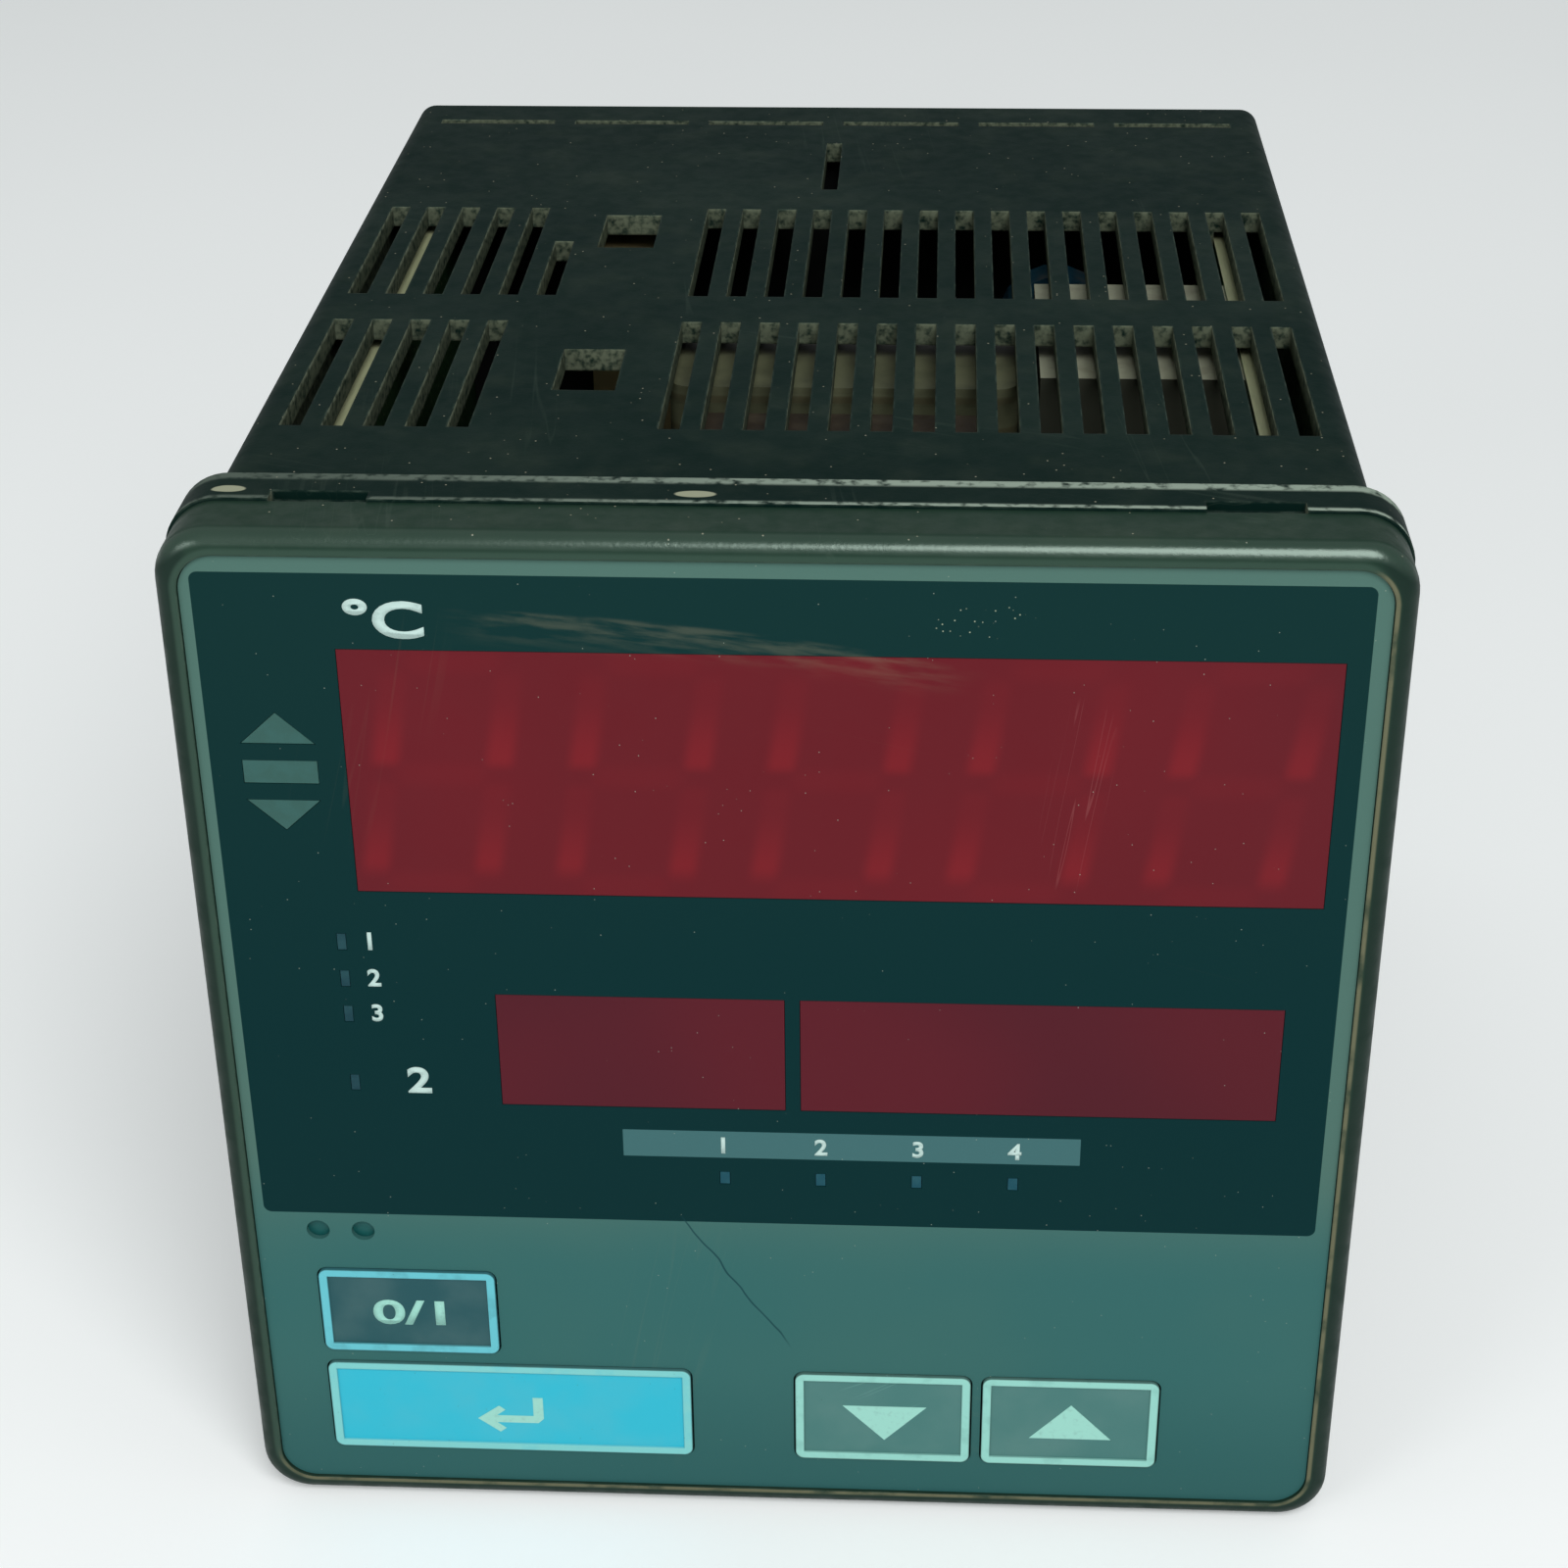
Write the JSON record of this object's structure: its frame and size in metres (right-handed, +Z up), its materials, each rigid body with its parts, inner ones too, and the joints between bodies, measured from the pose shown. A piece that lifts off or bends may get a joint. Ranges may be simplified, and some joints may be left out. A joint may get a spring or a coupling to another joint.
{
  "type": "pid temperature controller",
  "caption": "Square panel-mounted process temperature controller with red display windows, push keys, vented black case and rear screw terminals.",
  "frame": {"origin": "centre of the footprint, on the plane of the lowest edge of the front flange", "axes": "+Y from the face to the rear terminals, +Z up, +X to the right as the face is read"},
  "size_m": [0.096, 0.1172, 0.096],
  "materials": {
    "case_plastic": "moulded, fine texture",
    "bezel_plastic": "moulded, fine texture, worn edges",
    "seal_rubber": "matt",
    "sheet_film": "printed film, dark upper field and teal grey lower field",
    "window_red": "tinted, smooth",
    "lamp_clear": "translucent",
    "lens_dark": "smooth",
    "key_grey": "printed",
    "key_blue": "printed",
    "switch_black": "moulded",
    "holder_black": "moulded",
    "board_green": "solder mask",
    "module_grey": "moulded",
    "chip_clear": "clear",
    "board_tan": "laminate",
    "link_black": "moulded",
    "tape_tan": "polyester tape",
    "ferrite": "matt",
    "filter_brown": "moulded",
    "relay_white": "moulded",
    "relay_black": "moulded",
    "can_sleeve": "shrink sleeve",
    "capacitor_cream": "moulded",
    "disc_blue": "dipped",
    "sink_aluminium": "extruded",
    "chip_black": "moulded",
    "block_black": "moulded",
    "screw_steel": "plated",
    "stem_black": "moulded"
  },
  "bodies": {
    "housing": {"alarm_light_guide": "lamp_clear", "alarm_relays": "relay_black", "bezel_seal": "seal_rubber", "board_links": "link_black", "can_capacitors": "can_sleeve", "case": "case_plastic", "deviation_light_guide": "lamp_clear", "display_board": "board_green", "display_holder": "holder_black", "edge_sockets": "link_black", "film_capacitor": "capacitor_cream", "front_bezel": "bezel_plastic", "front_sheet": "sheet_film", "heat_sink": "sink_aluminium", "key_switches": "switch_black", "lamp_chips": "chip_clear", "left_digits": "module_grey", "logic_chips": "chip_black", "logic_side_board": "board_tan", "low_window": "window_red", "mains_filter": "filter_brown", "output_relays": "relay_white", "port_lens": "lens_dark", "power_side_board": "board_tan", "power_transistor": "chip_black", "pv_digits": "module_grey", "pv_window": "window_red", "right_digits": "module_grey", "status_light_guide": "lamp_clear", "supply_board": "board_tan", "terminal_block": "block_black", "terminal_screws": "screw_steel", "transformer_core": "ferrite", "transformer_winding": "tape_tan", "varistor": "disc_blue"},
    "mode_button": {"mode_key": "key_grey", "mode_switch_stem": "stem_black"},
    "enter_button": {"enter_key": "key_blue", "enter_switch_stem": "stem_black"},
    "down_button": {"down_key": "key_grey", "down_switch_stem": "stem_black"},
    "up_button": {"up_key": "key_grey", "up_switch_stem": "stem_black"}
  },
  "joints": [
    {"name": "mode_press", "type": "slide", "parent": "housing", "child": "mode_button", "axis": [0, 1, 0], "range_m": [0, 0.00035], "stiffness_N_per_m": 5000},
    {"name": "enter_press", "type": "slide", "parent": "housing", "child": "enter_button", "axis": [0, 1, 0], "range_m": [0, 0.00035], "stiffness_N_per_m": 5000},
    {"name": "down_press", "type": "slide", "parent": "housing", "child": "down_button", "axis": [0, 1, 0], "range_m": [0, 0.00035], "stiffness_N_per_m": 5000},
    {"name": "up_press", "type": "slide", "parent": "housing", "child": "up_button", "axis": [0, 1, 0], "range_m": [0, 0.00035], "stiffness_N_per_m": 5000}
  ]
}
